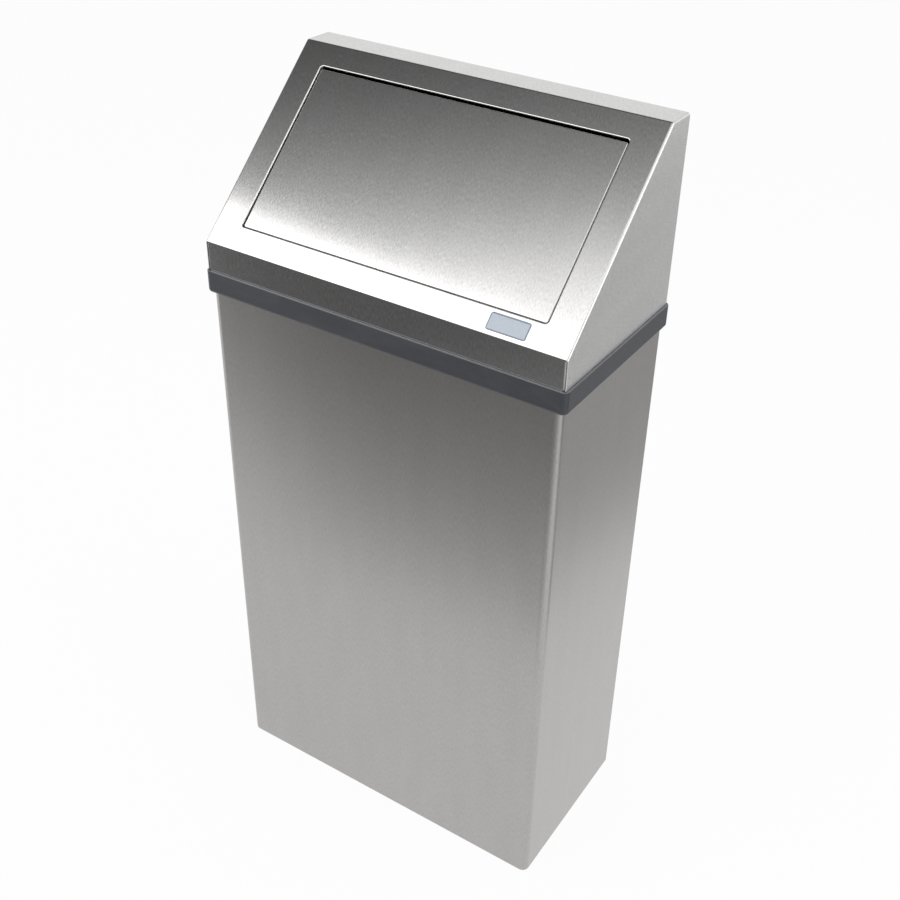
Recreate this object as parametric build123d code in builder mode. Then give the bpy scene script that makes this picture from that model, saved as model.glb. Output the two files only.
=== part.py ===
from build123d import *
from math import asin, degrees, hypot
import os

# Wall-mounted waste bin: a sheet-steel bin with a lift-off hood and a push flap.
# Millimetres. X is to the right, Y towards the wall, Z up, floor at Z = 0.

# Overall sizes
hood_width = 400.0
hood_depth = 200.0
total_height = 819.0
hood_bottom = 631.0
apron_height = 30.7
top_depth = 34.9
sheet = 1.2

# Body
body_side_inset = 2.7
body_back_inset = 1.8
body_bend = 8.0
body_back_bend = 2.0
back_return = 16.0
seat_gap = 0.2

# Moulded collar between the body and the hood
band_height = 23.5
lip_proud = 2.5
collar_corner = 6.0
collar_foot_round = 3.2
collar_ledge_round = 0.7
collar_web = 3.0
collar_web_drop = 11.0
collar_leg = 2.5
collar_lead_in = 5.0
body_fit = 0.15
hood_fit = 0.3
collar_leg_short = 2.0
slot_corner = 0.6
leg_front_corner = 8.0
leg_back_corner = 3.0

# Floor pan
pan_flange = 16.0
pan_fit = 0.2

# Fixing to the wall
wall_hole_spacing_x = 300.0
wall_hole_low = 110.0
wall_hole_below_rim = 77.0
wall_hole_radius = 3.5
spacer_radius = 13.0
rail_end_gap = 21.3
rail_height = 44.0
rail_lip = 9.0
rail_sheet = 1.5

# Rivets
rivet_radius = 2.0
rivet_hole_gap = 0.05
rivet_head_radius = 4.0
rivet_head_height = 1.4
rivet_tail_radius = 3.0
rivet_tail_height = 1.2
body_rivet_low = 60.0
body_rivet_below_rim = 47.0
body_rivet_rows = 4
rail_rivet_spacing = 120.0
hood_rivet_above_rim = 19.0
hood_rivet_below_top = 29.0
hood_rivet_rows = 3

# Hood bends and seams
hood_side_bend = 2.4
hood_front_bend = 3.5
hood_back_bend = 4.0
fold_round = 1.2
apron_end_bend = 2.2
apron_return = 2.7
seam_gap = 0.45
bend_overrun = 0.06
mark_radius = 1.1
mark_sunk = 0.5
mark_above_hood_bottom = 12.0
mark_from_front = 4.6

# Opening in the sloping face
opening_side_margin = 31.2
opening_top_margin = 24.6
opening_bottom_margin = 24.3
opening_corner = 3.5
opening_flange = 6.0
opening_lip_round = 0.9

# Flap
flap_side_gap = 1.0
flap_top_gap = 2.2
flap_bottom_gap = 0.8
flap_recess = 1.5
flap_tray = 9.0
flap_bend = 1.3
flap_corner = 2.6
pivot_below_flap_top = 6.0
pivot_depth = 12.0
ear_radius = 6.5
ear_foot = 16.0
stop_lip = 6.0
stop_lip_end_gap = 24.0
bumper_gap = 0.3
bumper_width = 5.6
bumper_length = 16.0
bumper_from_end = 48.0
stiffener_width = 70.0
stiffener_crown = 26.0
stiffener_height = 5.0
stiffener_side_gap = 14.0
stiffener_below_middle = 3.0

# Hinge
rod_radius = 3.0
rod_run = 0.05
rod_beyond_clip = 5.4
bracket_clearance = 7.2
bracket_sheet = 2.0
bracket_top_reach = 9.0
bracket_bottom_reach = 24.0
bracket_foot = 14.0
bracket_nose = 8.0
bush_wall = 1.6
bush_flange_radius = 7.0
bush_flange = 1.6
bush_tail = 1.2
bush_fit = 0.05
clip_gap = 0.5
clip_sheet = 0.9
clip_radius = 6.0
clip_mouth = 4.0
spring_wire = 0.9
spring_core = 3.9
spring_turns = 4
spring_end_gap = 0.3
spring_leg = 15.0
leg_sunk = 0.05

# Plain label
label_width = 40.0
label_height = 17.0
label_corner = 2.5
label_thick = 0.3
label_from_right = 64.0
label_sheet_gap = 0.02

# Values worked out from the sizes above
half_width = hood_width / 2
front_y = -hood_depth / 2
back_y = hood_depth / 2
wall_y = back_y + lip_proud
apron_top = hood_bottom + apron_height
top_front_y = back_y - top_depth
web_top = hood_bottom - collar_web_drop
web_bottom = web_top - collar_web
skirt_bottom = web_top + hood_fit
band_bottom = hood_bottom - band_height

body_width = hood_width - 2 * body_side_inset
body_back_y = back_y - body_back_inset
body_depth = body_back_y - front_y
body_mid_y = (body_back_y + front_y) / 2
panel_back_y = body_back_y - sheet
panel_front_y = panel_back_y - sheet
return_centre_x = body_width / 2 - back_return / 2
rail_length = body_width - 2 * rail_end_gap
wall_hole_high = web_bottom - wall_hole_below_rim
body_rivet_high = web_bottom - body_rivet_below_rim
hood_rivet_low = hood_bottom + hood_rivet_above_rim
hood_rivet_high = total_height - hood_rivet_below_top

slope_y = top_front_y - front_y
slope_z = total_height - apron_top
slope_length = hypot(slope_y, slope_z)
run = slope_y / slope_length
rise = slope_z / slope_length


def on_slope(down, deep):
    # Y and Z of a point a distance down the sloping face from its top fold, and a depth under it
    return (
        top_front_y - run * down + rise * deep,
        total_height - rise * down - run * deep,
    )


def slope_plane(down, deep, x=0.0):
    # A plane parallel to the sloping face: X to the right, Y up the slope, Z outwards
    y, z = on_slope(down, deep)
    return Plane(origin=(x, y, z), x_dir=(1, 0, 0), z_dir=(0, -rise, run))


def facing_wall(y):
    # A plane square to Y whose X is right and whose Y is up, with its normal to the front
    return Plane.XZ.offset(-y)


opening_width = hood_width - 2 * opening_side_margin
opening_length = slope_length - opening_top_margin - opening_bottom_margin
opening_middle = opening_top_margin + opening_length / 2
flap_width = opening_width - 2 * flap_side_gap
flap_top = opening_top_margin + flap_top_gap
flap_foot = opening_top_margin + opening_length - flap_bottom_gap
flap_length = flap_foot - flap_top
flap_middle = (flap_top + flap_foot) / 2
tray_depth = flap_recess + flap_tray
pivot_down = flap_top + pivot_below_flap_top
pivot_y, pivot_z = on_slope(pivot_down, pivot_depth)
bumper_spacing = flap_width - 2 * bumper_from_end
stiffener_place = flap_middle + stiffener_below_middle
bracket_inside = opening_width / 2 + bracket_clearance
clip_x = bracket_inside + bracket_sheet + bush_tail + clip_gap
rod_length = 2 * (clip_x + clip_sheet + rod_beyond_clip)

os.makedirs("parts", exist_ok=True)


# Bin body: front and both sides are one folded sheet, with narrow returns at the back
with BuildPart() as body_wrap:
    with BuildSketch() as wrap_plan:
        with Locations((0, body_mid_y)):
            Rectangle(body_width, body_depth)
        fillet(wrap_plan.vertices().group_by(Axis.Y)[0], body_bend)
        fillet(wrap_plan.vertices().group_by(Axis.Y)[-1], body_back_bend)
        offset(amount=-sheet, mode=Mode.SUBTRACT)
        with Locations((0, body_back_y - sheet / 2)):
            Rectangle(body_width - 2 * back_return, 3 * sheet, mode=Mode.SUBTRACT)
    extrude(amount=web_bottom)
    rivet_middle = (body_rivet_low + body_rivet_high) / 2
    rivet_step = (body_rivet_high - body_rivet_low) / (body_rivet_rows - 1)
    with BuildSketch(facing_wall(body_back_y)):
        with Locations((0, rivet_middle)):
            with GridLocations(2 * return_centre_x, rivet_step, 2, body_rivet_rows):
                Circle(rivet_radius + rivet_hole_gap)
    extrude(amount=sheet, mode=Mode.SUBTRACT)
body_wrap.part.label = "body_wrap"
export_step(body_wrap.part, "parts/body_wrap.step")


# Back panel of the body, inside the returns, with four holes for wall screws
wall_hole_middle = (wall_hole_low + wall_hole_high) / 2
wall_hole_rise = wall_hole_high - wall_hole_low
with BuildPart() as body_back:
    with BuildSketch(facing_wall(panel_back_y)):
        with Locations((0, web_bottom / 2)):
            Rectangle(body_width - 2 * body_back_bend - 2 * seat_gap, web_bottom)
        with Locations((0, rivet_middle)):
            with GridLocations(2 * return_centre_x, rivet_step, 2, body_rivet_rows):
                Circle(rivet_radius + rivet_hole_gap, mode=Mode.SUBTRACT)
        with Locations((0, wall_hole_middle)):
            with GridLocations(wall_hole_spacing_x, wall_hole_rise, 2, 2):
                Circle(wall_hole_radius, mode=Mode.SUBTRACT)
            with GridLocations(rail_rivet_spacing, wall_hole_rise, 2, 2):
                Circle(rivet_radius + rivet_hole_gap, mode=Mode.SUBTRACT)
    extrude(amount=sheet)
body_back.part.label = "body_back"
export_step(body_back.part, "parts/body_back.step")


# Floor pan: a flat bottom with an upturned edge that fits inside the body
pan_width = body_width - 2 * sheet - 2 * pan_fit
pan_front_y = front_y + sheet + pan_fit
pan_back_y = panel_front_y - pan_fit
with BuildPart() as floor_pan:
    with BuildSketch() as pan_plan:
        with Locations((0, (pan_front_y + pan_back_y) / 2)):
            Rectangle(pan_width, pan_back_y - pan_front_y)
        fillet(pan_plan.vertices().group_by(Axis.Y)[0], body_bend - sheet - pan_fit)
    extrude(amount=pan_flange)
    with BuildSketch(Plane.XY.offset(sheet)):
        add(pan_plan.sketch)
        offset(amount=-sheet, mode=Mode.REPLACE)
    extrude(amount=pan_flange, mode=Mode.SUBTRACT)
floor_pan.part.label = "floor_pan"
export_step(floor_pan.part, "parts/floor_pan.step")


# Two channels inside the back panel stiffen it where the wall screws pull
def mounting_rail(height):
    # One channel at the given height, open side towards the inside of the bin
    with BuildPart() as rail:
        with BuildSketch(facing_wall(panel_front_y)):
            with Locations((0, height)):
                Rectangle(rail_length, rail_height)
        extrude(amount=rail_lip)
        with BuildSketch(facing_wall(panel_front_y - rail_sheet)):
            with Locations((0, height)):
                Rectangle(rail_length, rail_height - 2 * rail_sheet)
        extrude(amount=rail_lip, mode=Mode.SUBTRACT)
        with BuildSketch(facing_wall(panel_front_y)):
            with Locations((0, height)):
                with GridLocations(wall_hole_spacing_x, 1, 2, 1):
                    Circle(wall_hole_radius)
                with GridLocations(rail_rivet_spacing, 1, 2, 1):
                    Circle(rivet_radius + rivet_hole_gap)
        extrude(amount=rail_sheet, mode=Mode.SUBTRACT)
    return rail.part


upper_rail = mounting_rail(wall_hole_high)
upper_rail.label = "upper_rail"
export_step(upper_rail, "parts/upper_rail.step")

lower_rail = mounting_rail(wall_hole_low)
lower_rail.label = "lower_rail"
export_step(lower_rail, "parts/lower_rail.step")


# Four round spacers behind the back panel meet the wall level with the collar
with BuildPart() as wall_spacers:
    with BuildSketch(facing_wall(wall_y)):
        with Locations((0, wall_hole_middle)):
            with GridLocations(wall_hole_spacing_x, wall_hole_rise, 2, 2):
                Circle(spacer_radius)
                Circle(wall_hole_radius, mode=Mode.SUBTRACT)
    extrude(amount=wall_y - panel_back_y)
wall_spacers.part.label = "wall_spacers"
export_step(wall_spacers.part, "parts/wall_spacers.step")


def rivet_set(seat_y, grip, centre_z, step_x, step_z, count_x, count_z):
    # Blind rivets with a low round head on the wall side and a set tail inside
    with BuildPart() as rivets:
        with BuildSketch(facing_wall(seat_y + rivet_head_height)):
            with Locations((0, centre_z)):
                with GridLocations(step_x, step_z, count_x, count_z):
                    Circle(rivet_head_radius)
        extrude(amount=rivet_head_height)
        fillet(rivets.edges().group_by(Axis.Y)[-1], rivet_head_height * 0.8)
        with BuildSketch(facing_wall(seat_y)):
            with Locations((0, centre_z)):
                with GridLocations(step_x, step_z, count_x, count_z):
                    Circle(rivet_radius)
        extrude(amount=grip)
        with BuildSketch(facing_wall(seat_y - grip)):
            with Locations((0, centre_z)):
                with GridLocations(step_x, step_z, count_x, count_z):
                    Circle(rivet_tail_radius)
        extrude(amount=rivet_tail_height)
    return rivets.part


body_rivets = rivet_set(
    body_back_y, 2 * sheet, rivet_middle, 2 * return_centre_x, rivet_step, 2, body_rivet_rows
)
body_rivets.label = "body_rivets"
export_step(body_rivets, "parts/body_rivets.step")

rail_rivets = rivet_set(
    panel_back_y, sheet + rail_sheet, wall_hole_middle, rail_rivet_spacing, wall_hole_rise, 2, 2
)
rail_rivets.label = "rail_rivets"
export_step(rail_rivets, "parts/rail_rivets.step")


# Collar: a moulded ring with a slot below for the body's rim and one above for the hood
collar_width = hood_width + 2 * lip_proud
collar_depth = hood_depth + 2 * lip_proud
slot_width = body_width + 2 * body_fit
slot_back_y = body_back_y + body_fit
slot_front_y = front_y - body_fit
rim_width = body_width - 2 * sheet - 2 * body_fit
rim_back_y = panel_front_y - body_fit
rim_front_y = front_y + sheet + body_fit
throat_width = rim_width - 2 * collar_leg
throat_back_y = rim_back_y - collar_leg
throat_front_y = rim_front_y + collar_leg
hood_slot_in_width = hood_width - 2 * sheet - 2 * hood_fit
inner_leg_back_y = back_y - 2 * sheet - hood_fit
inner_leg_front_y = front_y + sheet + hood_fit


def ring_plan(width, low_y, high_y, front_corner, back_corner):
    # A rectangle between two depths with its front and back corners rounded
    with BuildSketch(mode=Mode.PRIVATE) as plan:
        with Locations((0, (low_y + high_y) / 2)):
            Rectangle(width, high_y - low_y)
        fillet(plan.vertices().group_by(Axis.Y)[0], front_corner)
        fillet(plan.vertices().group_by(Axis.Y)[-1], back_corner)
    return plan.sketch


with BuildPart() as rim_collar:
    with BuildSketch(Plane.XY.offset(band_bottom)):
        RectangleRounded(collar_width, collar_depth, collar_corner)
    extrude(amount=band_height)
    fillet(rim_collar.edges().group_by(Axis.Z)[0], collar_foot_round)
    fillet(rim_collar.edges().group_by(Axis.Z)[-1], collar_ledge_round)
    # Slot for the rim of the body
    with BuildSketch(Plane.XY.offset(band_bottom)):
        add(ring_plan(slot_width, slot_front_y, slot_back_y, body_bend, body_back_bend))
    extrude(amount=web_bottom - band_bottom, mode=Mode.SUBTRACT)
    # Slot for the skirt of the hood
    with BuildSketch(Plane.XY.offset(web_top)):
        add(
            ring_plan(
                hood_width + 2 * hood_fit,
                front_y - hood_fit,
                back_y + hood_fit,
                slot_corner,
                slot_corner,
            )
        )
    extrude(amount=band_height, mode=Mode.SUBTRACT)
    # Inner legs below and above the web
    with BuildSketch(Plane.XY.offset(band_bottom + collar_leg_short)):
        add(ring_plan(rim_width, rim_front_y, rim_back_y, body_bend - sheet, body_back_bend))
    extrude(amount=web_bottom - band_bottom - collar_leg_short)
    with BuildSketch(Plane.XY.offset(web_top)):
        add(
            ring_plan(
                hood_slot_in_width,
                inner_leg_front_y,
                inner_leg_back_y,
                leg_front_corner,
                leg_back_corner,
            )
        )
    extrude(amount=collar_web_drop + collar_lead_in)
    # Throat through the whole ring
    with BuildSketch(Plane.XY.offset(band_bottom)):
        add(
            ring_plan(
                throat_width,
                throat_front_y,
                throat_back_y,
                body_bend - sheet - collar_leg,
                body_bend - sheet - collar_leg,
            )
        )
    extrude(amount=band_height + 2 * collar_lead_in, mode=Mode.SUBTRACT)
rim_collar.part.label = "rim_collar"
export_step(rim_collar.part, "parts/rim_collar.step")


# Hood: top, sloping face, apron and sides as one welded and polished shell
with BuildPart() as hood_shell:
    with BuildSketch(Plane.YZ.offset(-half_width)) as hood_profile:
        with BuildLine():
            Polyline(
                (front_y, skirt_bottom),
                (front_y, apron_top),
                (top_front_y, total_height),
                (back_y, total_height),
                (back_y, skirt_bottom),
                close=True,
            )
        make_face()
        # In the sketch's own axes X points to the wall and Y points up
        top_corners = hood_profile.vertices().group_by(Axis.Y)[-1]
        fillet(top_corners.sort_by(Axis.X)[0], hood_front_bend)
        top_corners = hood_profile.vertices().group_by(Axis.Y)[-1]
        fillet(top_corners.sort_by(Axis.X)[-1], hood_back_bend)
    extrude(amount=hood_width)
    # Bends between the sides and the sloping face, the top and the back corner
    side_bends = (
        hood_shell.edges()
        .filter_by(lambda e: abs(abs(e.center().X) - half_width) < 0.01)
        .filter_by(lambda e: e.center().Z > apron_top + 1)
    )
    fillet(side_bends, hood_side_bend)
    fold = (
        hood_shell.edges()
        .filter_by(Axis.X)
        .filter_by(lambda e: abs(e.center().Z - apron_top) < 0.01)
    )
    fillet(fold, fold_round)
    # Hollow, open below
    with BuildSketch(Plane.YZ.offset(-half_width + sheet)) as hollow_profile:
        with BuildLine():
            Polyline(
                (front_y, skirt_bottom - 2 * sheet),
                (front_y, apron_top),
                (top_front_y, total_height),
                (back_y, total_height),
                (back_y, skirt_bottom - 2 * sheet),
                close=True,
            )
        make_face()
        # In the sketch's own axes X points to the wall and Y points up
        top_corners = hollow_profile.vertices().group_by(Axis.Y)[-1]
        fillet(top_corners.sort_by(Axis.X)[0], hood_front_bend)
        top_corners = hollow_profile.vertices().group_by(Axis.Y)[-1]
        fillet(top_corners.sort_by(Axis.X)[-1], hood_back_bend)
        offset(amount=-sheet, mode=Mode.REPLACE)
    extrude(amount=hood_width - 2 * sheet, mode=Mode.SUBTRACT)
    # Back left open between narrow returns
    back_opening_top = total_height - back_return
    with BuildSketch(facing_wall(back_y)):
        with Locations((0, (skirt_bottom - sheet + back_opening_top) / 2)):
            Rectangle(hood_width - 2 * back_return, back_opening_top - skirt_bottom + sheet)
    extrude(amount=sheet, mode=Mode.SUBTRACT)
    # In-turned edge round the opening
    with BuildSketch(slope_plane(opening_middle, 0)):
        RectangleRounded(
            opening_width + 2 * sheet, opening_length + 2 * sheet, opening_corner + sheet
        )
    extrude(amount=-opening_flange)
    with BuildSketch(slope_plane(opening_middle, 0)):
        RectangleRounded(opening_width, opening_length, opening_corner)
    extrude(amount=-2 * opening_flange, mode=Mode.SUBTRACT)
    slope_face = (
        hood_shell.faces()
        .filter_by(GeomType.PLANE)
        .filter_by(lambda f: f.normal_at().dot(Vector(0, -rise, run)) > 0.999)
        .sort_by(SortBy.AREA)[-1]
    )
    fillet(slope_face.inner_wires()[0].edges(), opening_lip_round)
    # Ends of the apron bend inwards beside the edges of the side panels
    inner_x = half_width - sheet
    block_width = apron_end_bend + seam_gap + sheet / 2
    for side in (-1, 1):
        with BuildSketch(Plane.XY.offset(skirt_bottom)):
            with Locations((side * (inner_x - block_width / 2), front_y + apron_return / 2)):
                Rectangle(block_width, apron_return)
        extrude(amount=apron_top - skirt_bottom - 2 * sheet)
        bend_x = inner_x - seam_gap - apron_end_bend
        groove_x = (bend_x + inner_x) / 2
        with BuildSketch(Plane.XY.offset(skirt_bottom)):
            with Locations((side * groove_x, front_y)):
                Rectangle(inner_x - bend_x, 2 * apron_end_bend)
            with Locations((side * bend_x, front_y + apron_end_bend - bend_overrun)):
                Circle(apron_end_bend, mode=Mode.SUBTRACT)
        extrude(amount=apron_top - skirt_bottom - fold_round - seam_gap, mode=Mode.SUBTRACT)
    # Small round marks low on both sides, near the front
    mark_y = front_y + mark_from_front
    mark_z = hood_bottom + mark_above_hood_bottom
    for side in (-1, 1):
        with BuildSketch(Plane.YZ.offset(side * half_width)):
            with Locations((mark_y, mark_z)):
                Circle(mark_radius)
        extrude(amount=-side * mark_sunk, mode=Mode.SUBTRACT)
    # Rivet holes in the back returns
    hood_rivet_middle = (hood_rivet_low + hood_rivet_high) / 2
    hood_rivet_step = (hood_rivet_high - hood_rivet_low) / (hood_rivet_rows - 1)
    hood_rivet_x = half_width - back_return / 2
    with BuildSketch(facing_wall(back_y)):
        with Locations((0, hood_rivet_middle)):
            with GridLocations(2 * hood_rivet_x, hood_rivet_step, 2, hood_rivet_rows):
                Circle(rivet_radius + rivet_hole_gap)
    extrude(amount=sheet, mode=Mode.SUBTRACT)
hood_shell.part.label = "hood_shell"
export_step(hood_shell.part, "parts/hood_shell.step")


# Back panel of the hood, inside the returns
hood_panel_y = back_y - sheet
hood_panel_top = total_height - hood_back_bend
with BuildPart() as hood_back:
    with BuildSketch(facing_wall(hood_panel_y)):
        with Locations((0, (skirt_bottom + hood_panel_top) / 2)):
            Rectangle(hood_width - 2 * sheet - 2 * seat_gap, hood_panel_top - skirt_bottom)
        with Locations((0, hood_rivet_middle)):
            with GridLocations(2 * hood_rivet_x, hood_rivet_step, 2, hood_rivet_rows):
                Circle(rivet_radius + rivet_hole_gap, mode=Mode.SUBTRACT)
    extrude(amount=sheet)
hood_back.part.label = "hood_back"
export_step(hood_back.part, "parts/hood_back.step")

hood_rivets = rivet_set(
    back_y, 2 * sheet, hood_rivet_middle, 2 * hood_rivet_x, hood_rivet_step, 2, hood_rivet_rows
)
hood_rivets.label = "hood_rivets"
export_step(hood_rivets, "parts/hood_rivets.step")


# Flap: a shallow tray with ears for the hinge rod and a stop lip along its foot
ear_inside = flap_width / 2 - sheet
with BuildPart() as flap_panel:
    with BuildSketch(slope_plane(flap_middle, flap_recess)):
        RectangleRounded(flap_width, flap_length, flap_corner)
    extrude(amount=-flap_tray)
    front_rim = (
        flap_panel.faces()
        .filter_by(GeomType.PLANE)
        .filter_by(lambda f: f.normal_at().dot(Vector(0, -rise, run)) > 0.999)
        .sort_by(SortBy.AREA)[-1]
    )
    fillet(front_rim.edges(), flap_bend)
    with BuildSketch(slope_plane(flap_middle, flap_recess + sheet)):
        RectangleRounded(flap_width - 2 * sheet, flap_length - 2 * sheet, flap_corner - sheet)
    extrude(amount=-flap_tray, mode=Mode.SUBTRACT)
    for ear_x in (-flap_width / 2, ear_inside):
        with BuildSketch(Plane.YZ.offset(ear_x)):
            with BuildLine():
                Polyline(
                    on_slope(pivot_down - ear_radius + 1, flap_recess + 2 * sheet),
                    on_slope(pivot_down + ear_foot, flap_recess + 2 * sheet),
                    on_slope(pivot_down + ear_foot, tray_depth),
                    on_slope(pivot_down + ear_radius, pivot_depth),
                    on_slope(pivot_down, pivot_depth),
                    on_slope(pivot_down - ear_radius + 1, pivot_depth),
                    close=True,
                )
            make_face()
            with Locations((pivot_y, pivot_z)):
                Circle(ear_radius)
        extrude(amount=sheet)
    # Rod hole through both ears and the edges of the tray beside them
    with BuildSketch(Plane.YZ.offset(-flap_width)):
        with Locations((pivot_y, pivot_z)):
            Circle(rod_radius + rod_run)
    extrude(amount=2 * flap_width, mode=Mode.SUBTRACT)
    # Stop lip behind the lower edge of the opening
    lip_top = flap_foot - sheet
    lip_foot = opening_top_margin + opening_length + stop_lip
    with BuildSketch(slope_plane((lip_top + lip_foot) / 2, tray_depth - sheet)):
        Rectangle(flap_width - 2 * stop_lip_end_gap, lip_foot - lip_top)
    extrude(amount=-sheet)
flap_panel.part.label = "flap_panel"
export_step(flap_panel.part, "parts/flap_panel.step")


# Rubber bumpers on the stop lip, just short of the in-turned edge of the opening
bumper_height = tray_depth - sheet - opening_flange - bumper_gap
bumper_middle = flap_foot + seat_gap + bumper_width / 2
with BuildPart() as flap_bumpers:
    with BuildSketch(slope_plane(bumper_middle, tray_depth - sheet)):
        with GridLocations(bumper_spacing, 1, 2, 1):
            RectangleRounded(bumper_length, bumper_width, 1.2)
    extrude(amount=bumper_height)
flap_bumpers.part.label = "flap_bumpers"
export_step(flap_bumpers.part, "parts/flap_bumpers.step")


# Hat-shaped stiffener across the inside of the flap
stiffener_length = flap_width - 2 * sheet - 2 * stiffener_side_gap
stiffener_deep = flap_recess + sheet
with BuildPart() as flap_stiffener:
    with BuildSketch(Plane.YZ.offset(-stiffener_length / 2)):
        with BuildLine():
            half_foot = stiffener_width / 2
            half_crown = stiffener_crown / 2
            half_ramp = half_crown + stiffener_height
            Polyline(
                on_slope(stiffener_place - half_foot, stiffener_deep),
                on_slope(stiffener_place + half_foot, stiffener_deep),
                on_slope(stiffener_place + half_foot, stiffener_deep + sheet),
                on_slope(stiffener_place + half_ramp + sheet / 2, stiffener_deep + sheet),
                on_slope(stiffener_place + half_crown + sheet / 2, stiffener_deep + stiffener_height + sheet),
                on_slope(stiffener_place - half_crown - sheet / 2, stiffener_deep + stiffener_height + sheet),
                on_slope(stiffener_place - half_ramp - sheet / 2, stiffener_deep + sheet),
                on_slope(stiffener_place - half_foot, stiffener_deep + sheet),
                close=True,
            )
        make_face()
        with BuildLine():
            Polyline(
                on_slope(stiffener_place - half_ramp + sheet / 2, stiffener_deep),
                on_slope(stiffener_place + half_ramp - sheet / 2, stiffener_deep),
                on_slope(stiffener_place + half_crown - sheet / 2, stiffener_deep + stiffener_height),
                on_slope(stiffener_place - half_crown + sheet / 2, stiffener_deep + stiffener_height),
                close=True,
            )
        make_face(mode=Mode.SUBTRACT)
    extrude(amount=stiffener_length)
flap_stiffener.part.label = "flap_stiffener"
export_step(flap_stiffener.part, "parts/flap_stiffener.step")


# Hinge rod through the ears of the flap, turning in a bush at each end
with BuildPart() as hinge_rod:
    with BuildSketch(Plane.YZ.offset(-rod_length / 2)):
        with Locations((pivot_y, pivot_z)):
            Circle(rod_radius)
    extrude(amount=rod_length)
    chamfer(hinge_rod.edges().filter_by(GeomType.CIRCLE), 0.5)
hinge_rod.part.label = "hinge_rod"
export_step(hinge_rod.part, "parts/hinge_rod.step")


bush_outer = rod_radius + rod_run + bush_wall


def hinge_bracket(side):
    # A plate with a foot spot-welded under the frame beside the opening
    plate_x = side * bracket_inside
    outwards = side * bracket_sheet
    with BuildPart() as bracket:
        with BuildSketch(Plane.YZ.offset(plate_x)):
            with BuildLine():
                Polyline(
                    on_slope(pivot_down - bracket_top_reach, sheet),
                    on_slope(pivot_down + bracket_bottom_reach, sheet),
                    on_slope(pivot_down + bracket_bottom_reach, sheet + 2 * bracket_sheet),
                    on_slope(pivot_down + bracket_nose, pivot_depth),
                    on_slope(pivot_down - bracket_nose, pivot_depth),
                    on_slope(pivot_down - bracket_top_reach, sheet + 2 * bracket_sheet),
                    close=True,
                )
            make_face()
            with Locations((pivot_y, pivot_z)):
                Circle(bracket_nose)
                Circle(bush_outer + bush_fit, mode=Mode.SUBTRACT)
        extrude(amount=outwards)
        foot_length = bracket_top_reach + bracket_bottom_reach
        foot_middle = pivot_down + (bracket_bottom_reach - bracket_top_reach) / 2
        foot_x = side * (bracket_inside + bracket_foot / 2)
        with BuildSketch(slope_plane(foot_middle, sheet, foot_x)):
            Rectangle(bracket_foot, foot_length)
        extrude(amount=-bracket_sheet)
    return bracket.part


def hinge_bush(side):
    # A flanged nylon bush pushed into the bracket from the flap's side
    with BuildPart() as bush:
        with BuildSketch(Plane.YZ.offset(side * (bracket_inside - bush_flange))):
            with Locations((pivot_y, pivot_z)):
                Circle(bush_flange_radius)
        extrude(amount=side * bush_flange)
        with BuildSketch(Plane.YZ.offset(side * (bracket_inside - bush_flange))):
            with Locations((pivot_y, pivot_z)):
                Circle(bush_outer)
        extrude(amount=side * (bush_flange + bracket_sheet + bush_tail))
        with BuildSketch(Plane.YZ.offset(side * (bracket_inside - bush_flange))):
            with Locations((pivot_y, pivot_z)):
                Circle(rod_radius + rod_run)
        extrude(amount=side * (bush_flange + bracket_sheet + bush_tail), mode=Mode.SUBTRACT)
    return bush.part


def torsion_spring(side):
    # Close-wound torsion spring on the rod between the ear and the bush
    spring_start = bracket_inside - bush_flange - spring_end_gap
    mid_radius = spring_core + spring_wire / 2
    sleeve = spring_wire * (spring_turns - 1)
    leg_radius = spring_wire / 2 - leg_sunk
    with BuildPart() as spring:
        with BuildSketch(Plane.XY.offset(pivot_z)):
            with Locations((side * (spring_start - spring_wire / 2 - sleeve / 2), pivot_y + mid_radius)):
                Rectangle(sleeve, spring_wire / 2)
            for turn in range(spring_turns):
                middle = side * (spring_start - spring_wire * (turn + 0.5))
                with Locations((middle, pivot_y + mid_radius)):
                    Circle(spring_wire / 2)
        revolve(axis=Axis((0, pivot_y, pivot_z), (1, 0, 0)))
        last_x = side * (spring_start - spring_wire * (spring_turns - 0.5))
        leg_y, leg_z = on_slope(pivot_down, pivot_depth + mid_radius)
        leg_plane = Plane(origin=(last_x, leg_y, leg_z), x_dir=(1, 0, 0), z_dir=(0, -run, -rise))
        with BuildSketch(leg_plane):
            Circle(leg_radius)
        extrude(amount=spring_leg)
        first_x = side * (spring_start - spring_wire / 2)
        back_y0, back_z0 = on_slope(pivot_down, pivot_depth - mid_radius)
        back_plane = Plane(origin=(first_x, back_y0, back_z0), x_dir=(1, 0, 0), z_dir=(0, run, rise))
        with BuildSketch(back_plane):
            Circle(leg_radius)
        extrude(amount=bracket_top_reach)
    return spring.part


for side, name in ((-1, "left"), (1, "right")):
    bracket = hinge_bracket(side)
    bracket.label = "hinge_bracket_" + name
    export_step(bracket, "parts/hinge_bracket_" + name + ".step")
    bush = hinge_bush(side)
    bush.label = "hinge_bush_" + name
    export_step(bush, "parts/hinge_bush_" + name + ".step")
    spring = torsion_spring(side)
    spring.label = "flap_spring_" + name
    export_step(spring, "parts/flap_spring_" + name + ".step")


# Retaining clips on both ends of the rod
with BuildPart() as rod_clips:
    for side in (-1, 1):
        with BuildSketch(Plane.YZ.offset(side * clip_x)):
            with Locations((pivot_y, pivot_z)):
                Circle(clip_radius)
                Circle(rod_radius + rod_run, mode=Mode.SUBTRACT)
            with Locations((pivot_y, pivot_z - clip_radius)):
                Rectangle(clip_mouth, clip_radius, mode=Mode.SUBTRACT)
        extrude(amount=side * clip_sheet)
rod_clips.part.label = "rod_clips"
export_step(rod_clips.part, "parts/rod_clips.step")


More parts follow.
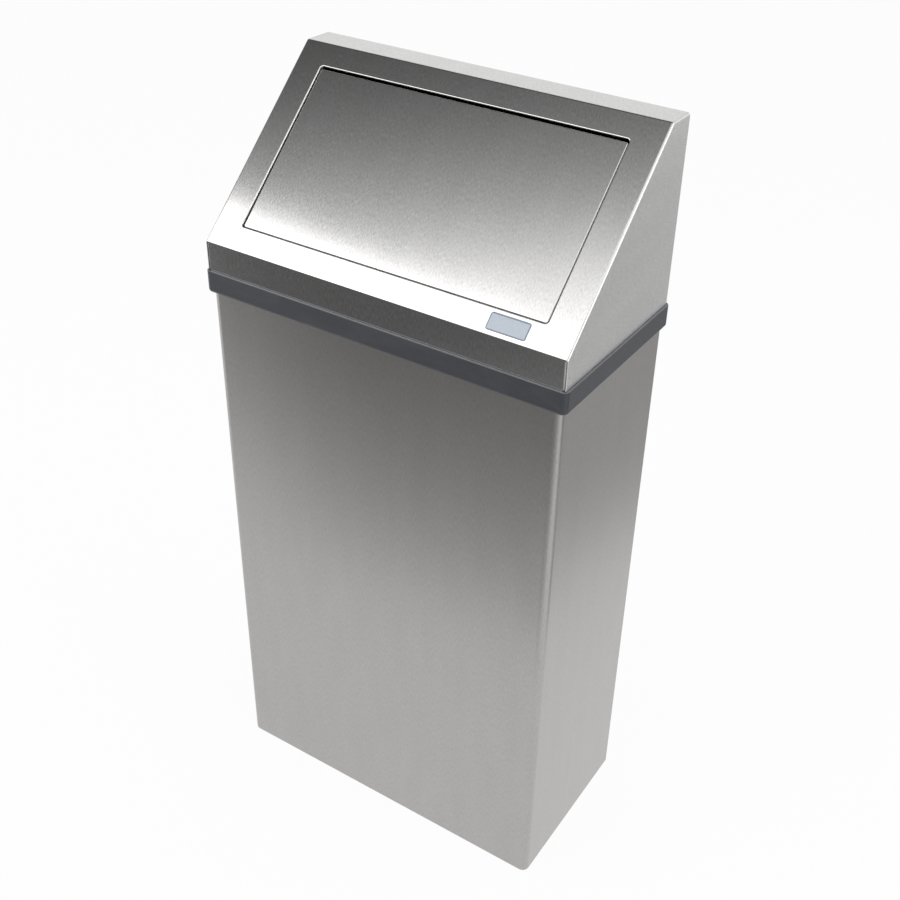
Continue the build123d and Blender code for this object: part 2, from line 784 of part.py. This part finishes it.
# Plain label low on the right of the sloping frame
label_down = slope_length - opening_bottom_margin / 2
label_x = half_width - label_from_right
with BuildPart() as blank_label:
    with BuildSketch(slope_plane(label_down, -label_sheet_gap, label_x)):
        RectangleRounded(label_width, label_height, label_corner)
    extrude(amount=label_thick)
blank_label.part.label = "blank_label"
export_step(blank_label.part, "parts/blank_label.step")

print("slope length", round(slope_length, 2), "angle", round(degrees(asin(rise)), 2))
print("opening", round(opening_width, 1), "by", round(opening_length, 1))
print("pivot", round(pivot_y, 3), round(pivot_z, 3))
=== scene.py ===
import math

import bpy
from mathutils import Matrix, Vector


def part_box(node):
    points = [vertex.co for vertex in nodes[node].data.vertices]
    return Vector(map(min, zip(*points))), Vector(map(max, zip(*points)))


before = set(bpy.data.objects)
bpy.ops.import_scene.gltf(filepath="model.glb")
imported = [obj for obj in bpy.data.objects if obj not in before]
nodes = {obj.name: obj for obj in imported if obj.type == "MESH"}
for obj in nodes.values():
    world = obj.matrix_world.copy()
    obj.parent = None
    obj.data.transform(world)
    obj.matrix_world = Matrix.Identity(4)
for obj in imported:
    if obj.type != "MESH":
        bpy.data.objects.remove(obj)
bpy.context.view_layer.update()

# Wall-mounted waste bin: brushed steel body and hood, dark moulded collar, push flap.
# Metres. X to the right, Y towards the wall, Z up.

# Camera, from the directions of the photograph's straight edges
CAMERA_AZIMUTH = 30.55
CAMERA_ELEVATION = 33.06
CAMERA_ROLL = 2.46
CAMERA_DISTANCE = 1.4015
CAMERA_TARGET = Vector((-0.0018, 0.1211, 0.4020))
FRAME_PIXELS = 900.0
FOCAL_PIXELS = 1228.3
CENTRE_PIXEL_X = 491.2
CENTRE_PIXEL_Y = 427.8
SENSOR_MM = 36.0


def make_camera():
    # The camera stands in front, to the right and above, with a small roll
    azimuth = math.radians(CAMERA_AZIMUTH)
    elevation = math.radians(CAMERA_ELEVATION)
    back = Vector(
        (
            math.sin(azimuth) * math.cos(elevation),
            -math.cos(azimuth) * math.cos(elevation),
            math.sin(elevation),
        )
    )
    right = Vector((math.cos(azimuth), math.sin(azimuth), 0.0))
    up = back.cross(right)
    roll = math.radians(CAMERA_ROLL)
    rolled_right = math.cos(roll) * right + math.sin(roll) * up
    rolled_up = math.cos(roll) * up - math.sin(roll) * right
    data = bpy.data.cameras.new("photo_camera")
    data.sensor_width = SENSOR_MM
    data.lens = FOCAL_PIXELS / FRAME_PIXELS * SENSOR_MM
    data.shift_x = (FRAME_PIXELS / 2 - CENTRE_PIXEL_X) / FRAME_PIXELS
    data.shift_y = (CENTRE_PIXEL_Y - FRAME_PIXELS / 2) / FRAME_PIXELS
    data.clip_start = 0.05
    data.clip_end = 50.0
    camera = bpy.data.objects.new("photo_camera", data)
    bpy.context.scene.collection.objects.link(camera)
    turn = Matrix((rolled_right, rolled_up, back)).transposed().to_4x4()
    camera.matrix_world = Matrix.Translation(CAMERA_TARGET + back * CAMERA_DISTANCE) @ turn
    bpy.context.scene.camera = camera


class Nodes:
    # Short helper that adds and joins shader nodes in one tree

    def __init__(self, tree):
        self.tree = tree
        tree.nodes.clear()

    def add(self, kind, **values):
        node = self.tree.nodes.new(kind)
        for key, value in values.items():
            setattr(node, key, value)
        return node

    def link(self, source, target):
        self.tree.links.new(source, target)

    def ramp(self, source, stops):
        # A colour ramp of grey levels, given as (place, level)
        node = self.add("ShaderNodeValToRGB")
        elements = node.color_ramp.elements
        while len(elements) < len(stops):
            elements.new(0.5)
        for element, (place, level) in zip(elements, stops):
            element.position = place
            element.color = (level, level, level, 1.0)
        self.link(source, node.inputs[0])
        return node.outputs[0]

    def maths(self, operation, first, second):
        node = self.add("ShaderNodeMath", operation=operation)
        for socket, value in zip(node.inputs, (first, second)):
            if isinstance(value, (int, float)):
                socket.default_value = value
            else:
                self.link(value, socket)
        return node.outputs[0]

    def noise(self, place, scale, detail=3.0, stretch=(1.0, 1.0, 1.0), roughness=0.5):
        mapping = self.add("ShaderNodeMapping")
        mapping.inputs["Scale"].default_value = stretch
        self.link(place, mapping.inputs["Vector"])
        node = self.add("ShaderNodeTexNoise")
        node.inputs["Scale"].default_value = scale
        node.inputs["Detail"].default_value = detail
        node.inputs["Roughness"].default_value = roughness
        self.link(mapping.outputs[0], node.inputs["Vector"])
        return node.outputs["Fac"]

    def mix_colour(self, factor, first, second):
        node = self.add("ShaderNodeMix", data_type="RGBA")
        if isinstance(factor, (int, float)):
            node.inputs[0].default_value = factor
        else:
            self.link(factor, node.inputs[0])
        for socket, value in zip((node.inputs[6], node.inputs[7]), (first, second)):
            if isinstance(value, tuple):
                socket.default_value = value
            else:
                self.link(value, socket)
        return node.outputs[2]


def new_material(name):
    material = bpy.data.materials.new(name)
    material.use_nodes = True
    return material, Nodes(material.node_tree)


# Brushed steel: fine streaks along the brushing, wider bands and faint smears
STREAKS_PER_METRE = 900.0
BANDS_PER_METRE = 45.0
SMEAR_SCALE = 7.0
# The grain's scale along the brushing, as a share of its scale across it
ALONG_GRAIN = 0.2
# How much of the colour's mix comes from the streaks, and how much from the bands
STREAK_SHARE = 0.8
BAND_SHARE = 0.2
# How far the streaks and the smears move the roughness
STREAK_ROUGHNESS = 0.06
SMEAR_ROUGHNESS = 0.03
# Extra roughness on the hood's sides
SIDE_ROUGHNESS = 0.22
# A face counts as a side where the X of its normal passes this
SIDE_NORMAL = 0.7
STEEL_BUMP_STRENGTH = 0.005
STEEL_BUMP_DISTANCE = 0.0003
# The middle of a noise, about which it moves a value either way
NOISE_MIDDLE = 0.5


def brushed_steel(
    name, level, roughness, anisotropy, contrast, blue_share=0.985, painted_side_light=1.0, side_across=False
):
    # The brushing runs up the front, and up the sides or, with side_across, along Y there
    material, n = new_material(name)
    place = n.add("ShaderNodeTexCoord").outputs["Object"]
    parts = n.add("ShaderNodeSeparateXYZ")
    n.link(place, parts.inputs[0])
    normal = n.add("ShaderNodeSeparateXYZ")
    n.link(n.add("ShaderNodeNewGeometry").outputs["Normal"], normal.inputs[0])
    side = n.maths("GREATER_THAN", n.maths("ABSOLUTE", normal.outputs[0], 0.0), SIDE_NORMAL)
    front = n.maths("SUBTRACT", 1.0, side)
    # Distance across the grain: X on the front faces, and Y or Z on the side faces
    x, y, z = parts.outputs
    if side_across:
        side_distance = n.maths("MULTIPLY", z, side)
        along = n.maths("ADD", y, n.maths("MULTIPLY", z, front))
    else:
        side_distance = n.maths("MULTIPLY", y, side)
        along = n.maths("ADD", n.maths("MULTIPLY", y, front), z)
    across = n.maths("ADD", n.maths("MULTIPLY", x, front), side_distance)
    grain = n.add("ShaderNodeCombineXYZ")
    n.link(across, grain.inputs[0])
    n.link(n.maths("MULTIPLY", along, ALONG_GRAIN), grain.inputs[1])
    n.link(side, grain.inputs[2])
    streaks = n.noise(grain.outputs[0], STREAKS_PER_METRE, detail=2.0, roughness=0.6)
    bands = n.noise(grain.outputs[0], BANDS_PER_METRE, detail=3.0, roughness=0.55)
    smears = n.noise(place, SMEAR_SCALE, detail=4.0, stretch=(1.0, 1.0, 0.6), roughness=0.6)
    # Colour: two greys, mixed by the streaks and the wider bands
    streak_part = n.maths("MULTIPLY", streaks, STREAK_SHARE)
    both = n.maths("ADD", streak_part, n.maths("MULTIPLY", bands, BAND_SHARE))

    def greys(middle):
        tones = (middle * (1 - contrast), min(1.0, middle * (1 + contrast)))
        green_share = (1 + blue_share) / 2
        dark, light = ((tone, tone * green_share, tone * blue_share, 1.0) for tone in tones)
        return n.mix_colour(both, dark, light)

    # The side faces take lighter greys, lifted by the side factor: painted light that brightens the
    # sides
    colour = n.mix_colour(side, greys(level), greys(level * painted_side_light))
    shader = n.add("ShaderNodeBsdfPrincipled")
    shader.inputs["Metallic"].default_value = 1.0
    shader.inputs["Anisotropic"].default_value = anisotropy
    n.link(colour, shader.inputs["Base Color"])
    # Roughness: the brushing and the smears move it a little either way
    spread = n.maths("MULTIPLY", n.maths("SUBTRACT", streaks, NOISE_MIDDLE), STREAK_ROUGHNESS)
    blotch = n.maths("MULTIPLY", n.maths("SUBTRACT", smears, NOISE_MIDDLE), SMEAR_ROUGHNESS)
    rough = n.maths("ADD", n.maths("ADD", spread, blotch), roughness)
    if side_across:
        rough = n.maths("ADD", rough, n.maths("MULTIPLY", side, SIDE_ROUGHNESS))
    n.link(rough, shader.inputs["Roughness"])
    # Highlights spread across the grain, so the tangent lies square to it
    side_tangent = (0.0, 0.0, 1.0, 1.0) if side_across else (0.0, 1.0, 0.0, 1.0)
    tangent = n.mix_colour(side, (1.0, 0.0, 0.0, 1.0), side_tangent)
    n.link(tangent, shader.inputs["Tangent"])
    height = n.add("ShaderNodeBump")
    height.inputs["Strength"].default_value = STEEL_BUMP_STRENGTH
    height.inputs["Distance"].default_value = STEEL_BUMP_DISTANCE
    n.link(streaks, height.inputs["Height"])
    n.link(height.outputs[0], shader.inputs["Normal"])
    output = n.add("ShaderNodeOutputMaterial")
    n.link(shader.outputs[0], output.inputs[0])
    return material


# Moulded plastic and rubber
SKIN_SCALE = 420.0
SKIN_HEIGHT = 0.0004
SKIN_STRENGTH = 0.25
SCUFF_SCALE = 24.0
# The scuffs' noise level where they begin, and where they are full
SCUFF_BEGINS = 0.52
SCUFF_FULL = 0.78
SCUFF_STRENGTH = 0.55
# A worn colour is the plain one times the gain, plus the lift
WORN_GAIN = 1.35
WORN_LIFT = 0.006
# How far the scuffs' noise moves the roughness, up from its lowest
SCUFF_ROUGHNESS = 0.16
# Grey of the painted highlight on faces that look up
PAINTED_LEDGE_HIGHLIGHT = (0.36, 0.37, 0.39, 1.0)


def moulded(name, colour, roughness, upward_painted_highlight=0.0):
    # Moulded plastic or rubber with a fine skin and scuffs that wear to a lighter tone
    material, n = new_material(name)
    place = n.add("ShaderNodeTexCoord").outputs["Object"]
    skin = n.noise(place, SKIN_SCALE, detail=2.0)
    scuffs = n.noise(place, SCUFF_SCALE, detail=5.0, stretch=(1.0, 1.0, 2.4), roughness=0.62)
    scuff_mask = n.ramp(scuffs, ((SCUFF_BEGINS, 0.0), (SCUFF_FULL, 1.0)))
    worn = tuple(min(1.0, c * WORN_GAIN + WORN_LIFT) for c in colour) + (1.0,)
    base = n.mix_colour(n.maths("MULTIPLY", scuff_mask, SCUFF_STRENGTH), colour + (1.0,), worn)
    if upward_painted_highlight > 0.0:
        # Faces that look up are mixed towards a lighter grey, a painted highlight of the light from
        # above
        normal = n.add("ShaderNodeSeparateXYZ")
        n.link(n.add("ShaderNodeNewGeometry").outputs["Normal"], normal.inputs[0])
        upward = n.maths("MAXIMUM", normal.outputs[2], 0.0)
        base = n.mix_colour(n.maths("MULTIPLY", upward, upward_painted_highlight), base, PAINTED_LEDGE_HIGHLIGHT)
    shader = n.add("ShaderNodeBsdfPrincipled")
    n.link(base, shader.inputs["Base Color"])
    lowest = roughness - SCUFF_ROUGHNESS / 2
    rough = n.maths("ADD", n.maths("MULTIPLY", scuffs, SCUFF_ROUGHNESS), lowest)
    n.link(rough, shader.inputs["Roughness"])
    height = n.add("ShaderNodeBump")
    height.inputs["Strength"].default_value = SKIN_STRENGTH
    height.inputs["Distance"].default_value = SKIN_HEIGHT
    n.link(skin, height.inputs["Height"])
    n.link(height.outputs[0], shader.inputs["Normal"])
    output = n.add("ShaderNodeOutputMaterial")
    n.link(shader.outputs[0], output.inputs[0])
    return material


# Plain label: the darker line round it is LABEL_LINE wide, and its field mottles between two tones
LABEL_LINE = 0.0011
LABEL_MOTTLE_SCALE = 300.0
LABEL_FIELD_DARK = (0.42, 0.47, 0.53, 1.0)
LABEL_FIELD_LIGHT = (0.50, 0.55, 0.61, 1.0)
LABEL_LINE_COLOUR = (0.20, 0.24, 0.30, 1.0)
LABEL_ROUGHNESS = 0.28
LABEL_ROUGHNESS_SPREAD = 0.15


def plain_label():
    # A blank satin label whose edge is a shade darker
    material, n = new_material("label_film")
    low, high = (Vector(corner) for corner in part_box("blank_label"))
    middle = (low + high) / 2
    half = (high - low) / 2
    parts = n.add("ShaderNodeSeparateXYZ")
    place = n.add("ShaderNodeTexCoord").outputs["Object"]
    n.link(place, parts.inputs[0])

    def share(output, centre, reach):
        return n.maths("ABSOLUTE", n.maths("DIVIDE", n.maths("SUBTRACT", output, centre), reach), 0.0)

    across = share(parts.outputs[0], middle.x, half.x - LABEL_LINE)
    over = share(parts.outputs[2], middle.z, half.z - LABEL_LINE)
    edge = n.maths("GREATER_THAN", n.maths("MAXIMUM", across, over), 1.0)
    mottle = n.noise(place, LABEL_MOTTLE_SCALE, detail=3.0)
    field = n.mix_colour(mottle, LABEL_FIELD_DARK, LABEL_FIELD_LIGHT)
    colour = n.mix_colour(edge, field, LABEL_LINE_COLOUR)
    shader = n.add("ShaderNodeBsdfPrincipled")
    n.link(colour, shader.inputs["Base Color"])
    spread = n.maths("MULTIPLY", mottle, LABEL_ROUGHNESS_SPREAD)
    n.link(n.maths("ADD", spread, LABEL_ROUGHNESS), shader.inputs["Roughness"])
    output = n.add("ShaderNodeOutputMaterial")
    n.link(shader.outputs[0], output.inputs[0])
    return material


# Plain metal: its mottle runs between these shares of its level, in red, green and blue
METAL_MOTTLE_SCALE = 160.0
METAL_DARK_SHARES = (0.82, 0.83, 0.84)
METAL_LIGHT_SHARES = (1.12, 1.12, 1.13)
METAL_ROUGHNESS_SPREAD = 0.2


def plain_metal(name, level, roughness):
    # Zinc-plated steel, drawn steel or spring wire, with a faint mottle
    material, n = new_material(name)
    place = n.add("ShaderNodeTexCoord").outputs["Object"]
    mottle = n.noise(place, METAL_MOTTLE_SCALE, detail=4.0)
    dark = tuple(level * share for share in METAL_DARK_SHARES) + (1.0,)
    light = tuple(level * share for share in METAL_LIGHT_SHARES) + (1.0,)
    tone = n.mix_colour(mottle, dark, light)
    shader = n.add("ShaderNodeBsdfPrincipled")
    shader.inputs["Metallic"].default_value = 1.0
    n.link(tone, shader.inputs["Base Color"])
    lowest = roughness - METAL_ROUGHNESS_SPREAD / 2
    rough = n.maths("ADD", n.maths("MULTIPLY", mottle, METAL_ROUGHNESS_SPREAD), lowest)
    n.link(rough, shader.inputs["Roughness"])
    output = n.add("ShaderNodeOutputMaterial")
    n.link(shader.outputs[0], output.inputs[0])
    return material


def dress():
    # Each node's slots take the material for what it is made of
    body = brushed_steel(
        "steel_body", level=0.42, roughness=0.30, anisotropy=0.35, contrast=0.28, blue_share=0.95
    )
    hood = brushed_steel(
        "steel_hood",
        level=0.60,
        roughness=0.14,
        anisotropy=0.50,
        contrast=0.32,
        # painted light: the hood's sides are painted lighter than its front
        painted_side_light=1.22,
        side_across=True,
    )
    flap = brushed_steel("steel_flap", level=0.58, roughness=0.14, anisotropy=0.50, contrast=0.32)
    zinc = plain_metal("zinc_plate", level=0.55, roughness=0.45)
    bright = plain_metal("drawn_steel", level=0.66, roughness=0.25)
    dark_wire = plain_metal("spring_wire", level=0.30, roughness=0.35)
    # painted highlight: the collar's upward faces are painted lighter
    collar = moulded("collar_moulding", (0.048, 0.052, 0.060), roughness=0.40, upward_painted_highlight=0.32)
    rubber = moulded("black_rubber", (0.03, 0.03, 0.03), roughness=0.7)
    nylon = moulded("natural_nylon", (0.72, 0.70, 0.63), roughness=0.45)
    label = plain_label()
    choice = {
        "body_wrap": body,
        "body_back": body,
        "floor_pan": body,
        "hood_shell": hood,
        "hood_back": hood,
        "flap_panel": flap,
        "flap_stiffener": zinc,
        "upper_rail": zinc,
        "lower_rail": zinc,
        "hinge_bracket_left": zinc,
        "hinge_bracket_right": zinc,
        "hinge_rod": bright,
        "body_rivets": bright,
        "rail_rivets": bright,
        "hood_rivets": bright,
        "flap_spring_left": dark_wire,
        "flap_spring_right": dark_wire,
        "rod_clips": dark_wire,
        "rim_collar": collar,
        "wall_spacers": rubber,
        "flap_bumpers": rubber,
        "hinge_bush_left": nylon,
        "hinge_bush_right": nylon,
        "blank_label": label,
    }
    for name, material in choice.items():
        mesh = nodes[name].data
        if not mesh.materials:
            mesh.materials.append(material)
        for index in range(len(mesh.materials)):
            mesh.materials[index] = material


# Floor and light
FLOOR_HALF = 6.0
FLOOR_DROP = 0.0005
FLOOR_COLOUR = (0.8, 0.8, 0.8, 1.0)
# How much of the floor's look, for the eye and the metal, is plain white and not lit paper
FLOOR_WHITE_SHARE = 0.95
FILL_LEVEL = 0.55

# Softbox in front on the left: the two ends of its upper edge, and its size
SOFTBOX_EDGE_LEFT = Vector((-2.106, -1.117, 2.716))
SOFTBOX_EDGE_RIGHT = Vector((-0.998, -1.395, 3.039))
SOFTBOX_WIDTH = 3.2
SOFTBOX_HEIGHT = 1.7
SOFTBOX_POWER = 34.0
HOOD_MIDDLE = Vector((0.0, -0.03, 0.73))

# Ceiling card above the softbox: its grey fades with distance, in metres, from the softbox
CEILING_WIDTH = 6.0
CEILING_HEIGHT = 3.0
CEILING_START = 0.12
CEILING_RIGHTWARD = 1.22
CEILING_UPWARD = -3.0
CEILING_LEAST = 0.10
CEILING_MOST = 1.5

# Floor cards, outside the photograph's frame: corners on the floor, and grey by distance outward
CARD_LIFT = 0.001
FRONT_CORNERS = ((-0.33, -0.45), (-3.0, -2.01), (-3.0, -3.2), (3.0, -3.2), (3.0, -0.45))
FRONT_EDGE = -0.45
FRONT_REACH = 2.75
FRONT_STOPS = ((0.0, 0.78), (0.04, 0.58), (0.25, 0.32), (0.42, 0.22), (0.62, 0.11), (2.75, 0.10))
FRONT_RIGHTWARD = 0.20
FRONT_MIDDLE_X = -0.6
FRONT_LEAST = 0.13
RIGHT_CORNERS = ((0.55, 0.067), (0.15, 1.57), (0.55, 2.9), (2.9, 2.9), (2.9, 0.067))
RIGHT_EDGE = 0.45
RIGHT_REACH = 2.45
RIGHT_STOPS = (
    (0.0, 0.60),
    (0.06, 0.44),
    (0.14, 0.36),
    (0.25, 0.74),
    (0.45, 0.44),
    (0.75, 0.30),
    (2.45, 0.25),
)

# Small lamp on the right that brightens the bend beside the sloping face
RIGHT_LAMP_PLACE = Vector((2.37, -0.05, 1.98))
RIGHT_LAMP_SIZE = 1.0
RIGHT_LAMP_POWER = 9.0

# Lamp overhead
TOP_LAMP_PLACE = (0.3, 0.2, 2.6)
TOP_LAMP_WIDTH = 1.6
TOP_LAMP_HEIGHT = 1.0
TOP_LAMP_POWER = 14.0


def shown_to_eye_and_metal(n):
    # 1 for the rays by which the camera, metal and glass see the background
    path = n.add("ShaderNodeLightPath")
    seen = n.maths("ADD", path.outputs["Is Camera Ray"], path.outputs["Is Glossy Ray"])
    return n.maths("MINIMUM", n.maths("ADD", seen, path.outputs["Is Transmission Ray"]), 1.0)


def make_floor():
    # A pale floor that shows white and keeps a soft shadow
    mesh = bpy.data.meshes.new("floor")
    half = FLOOR_HALF
    mesh.from_pydata(
        [(-half, -half, 0.0), (half, -half, 0.0), (half, half, 0.0), (-half, half, 0.0)],
        [],
        [(0, 1, 2, 3)],
    )
    floor = bpy.data.objects.new("floor", mesh)
    bpy.context.scene.collection.objects.link(floor)
    floor.location.z = -FLOOR_DROP
    material, n = new_material("floor_paper")
    paper = n.add("ShaderNodeBsdfDiffuse")
    paper.inputs["Color"].default_value = FLOOR_COLOUR
    glow = n.add("ShaderNodeEmission")
    glow.inputs["Color"].default_value = (1.0, 1.0, 1.0, 1.0)
    white = n.add("ShaderNodeMixShader")
    white.inputs[0].default_value = FLOOR_WHITE_SHARE
    n.link(paper.outputs[0], white.inputs[1])
    n.link(glow.outputs[0], white.inputs[2])
    pick = n.add("ShaderNodeMixShader")
    n.link(shown_to_eye_and_metal(n), pick.inputs[0])
    n.link(paper.outputs[0], pick.inputs[1])
    n.link(white.outputs[0], pick.inputs[2])
    output = n.add("ShaderNodeOutputMaterial")
    n.link(pick.outputs[0], output.inputs[0])
    mesh.materials.append(material)


def make_world():
    # White for the camera, metal and glass, and a plain even fill for the rest
    world = bpy.data.worlds.new("studio")
    bpy.context.scene.world = world
    world.use_nodes = True
    n = Nodes(world.node_tree)
    fill = n.add("ShaderNodeBackground")
    fill.inputs["Color"].default_value = (1.0, 1.0, 1.0, 1.0)
    fill.inputs["Strength"].default_value = FILL_LEVEL
    white = n.add("ShaderNodeBackground")
    white.inputs["Color"].default_value = (1.0, 1.0, 1.0, 1.0)
    white.inputs["Strength"].default_value = 1.0
    pick = n.add("ShaderNodeMixShader")
    n.link(shown_to_eye_and_metal(n), pick.inputs[0])
    n.link(fill.outputs[0], pick.inputs[1])
    n.link(white.outputs[0], pick.inputs[2])
    output = n.add("ShaderNodeOutputWorld")
    n.link(pick.outputs[0], output.inputs[0])


def make_card(name, corners, place, level):
    # A grey card that shows only in reflections, and casts no diffuse light and no shadow
    mesh = bpy.data.meshes.new(name)
    mesh.from_pydata(corners, [], [tuple(range(len(corners)))])
    card = bpy.data.objects.new(name, mesh)
    bpy.context.scene.collection.objects.link(card)
    card.matrix_world = place
    material, n = new_material(name + "_grey")
    parts = n.add("ShaderNodeSeparateXYZ")
    n.link(n.add("ShaderNodeTexCoord").outputs["Object"], parts.inputs[0])
    glow = n.add("ShaderNodeEmission")
    n.link(level(n, parts.outputs[0], parts.outputs[1]), glow.inputs["Color"])
    output = n.add("ShaderNodeOutputMaterial")
    n.link(glow.outputs[0], output.inputs[0])
    mesh.materials.append(material)
    card.visible_camera = False
    card.visible_diffuse = False
    card.visible_shadow = False
    card.visible_transmission = False


def make_floor_cards():
    def front_level(n, x, y):
        outward = n.maths("SUBTRACT", FRONT_EDGE, y)
        stops = tuple((distance / FRONT_REACH, grey) for distance, grey in FRONT_STOPS)
        grey = n.ramp(n.maths("DIVIDE", outward, FRONT_REACH), stops)
        rightward = n.maths("SUBTRACT", x, FRONT_MIDDLE_X)
        lift = n.maths("ADD", grey, n.maths("MULTIPLY", rightward, FRONT_RIGHTWARD))
        return n.maths("MAXIMUM", lift, FRONT_LEAST)

    def right_level(n, x, y):
        outward = n.maths("SUBTRACT", x, RIGHT_EDGE)
        stops = tuple((distance / RIGHT_REACH, grey) for distance, grey in RIGHT_STOPS)
        return n.ramp(n.maths("DIVIDE", outward, RIGHT_REACH), stops)

    flat = Matrix.Translation((0.0, 0.0, CARD_LIFT))
    make_card("front_card", [(x, y, 0.0) for x, y in FRONT_CORNERS], flat, front_level)
    make_card("right_card", [(x, y, 0.0) for x, y in RIGHT_CORNERS], flat, right_level)


def make_softbox():
    # The softbox faces the hood, and the ceiling card carries on above it in the same plane
    middle = (SOFTBOX_EDGE_LEFT + SOFTBOX_EDGE_RIGHT) / 2
    along = (SOFTBOX_EDGE_RIGHT - SOFTBOX_EDGE_LEFT).normalized()
    facing = HOOD_MIDDLE - middle
    facing = (facing - along * facing.dot(along)).normalized()
    up = along.cross(facing)
    # Local axes of both: X along the edge, Y up the plane, Z away from the hood
    turn = Matrix((along, up, -facing)).transposed().to_4x4()

    def ceiling_level(n, across, over):
        rise = n.maths("MULTIPLY", over, CEILING_UPWARD)
        slant = n.maths("ADD", n.maths("MULTIPLY", across, CEILING_RIGHTWARD), rise)
        fade = n.maths("EXPONENT", n.maths("ADD", slant, CEILING_START), 0.0)
        return n.maths("MINIMUM", n.maths("MAXIMUM", fade, CEILING_LEAST), CEILING_MOST)

    half = CEILING_WIDTH / 2
    corners = [(-half, 0, 0), (half, 0, 0), (half, CEILING_HEIGHT, 0), (-half, CEILING_HEIGHT, 0)]
    make_card("ceiling_card", corners, Matrix.Translation(middle) @ turn, ceiling_level)
    softbox = area_light("softbox", SOFTBOX_WIDTH, SOFTBOX_HEIGHT, SOFTBOX_POWER)
    softbox.matrix_world = Matrix.Translation(middle - up * (SOFTBOX_HEIGHT / 2)) @ turn


def area_light(name, width, height, power):
    data = bpy.data.lights.new(name, "AREA")
    data.shape = "RECTANGLE"
    data.size = width
    data.size_y = height
    data.energy = power
    lamp = bpy.data.objects.new(name, data)
    bpy.context.scene.collection.objects.link(lamp)
    return lamp


def make_right_lamp():
    lamp = area_light("right_lamp", RIGHT_LAMP_SIZE, RIGHT_LAMP_SIZE, RIGHT_LAMP_POWER)
    aim = (HOOD_MIDDLE - RIGHT_LAMP_PLACE).to_track_quat("-Z", "Y")
    lamp.matrix_world = Matrix.Translation(RIGHT_LAMP_PLACE) @ aim.to_matrix().to_4x4()


def make_top_lamp():
    # A weaker lamp overhead, kept out of reflections
    lamp = area_light("top_lamp", TOP_LAMP_WIDTH, TOP_LAMP_HEIGHT, TOP_LAMP_POWER)
    lamp.location = TOP_LAMP_PLACE
    lamp.visible_glossy = False


make_camera()
dress()
make_floor()
make_world()
make_floor_cards()
make_softbox()
make_right_lamp()
make_top_lamp()

bpy.context.scene.view_settings.view_transform = "Standard"
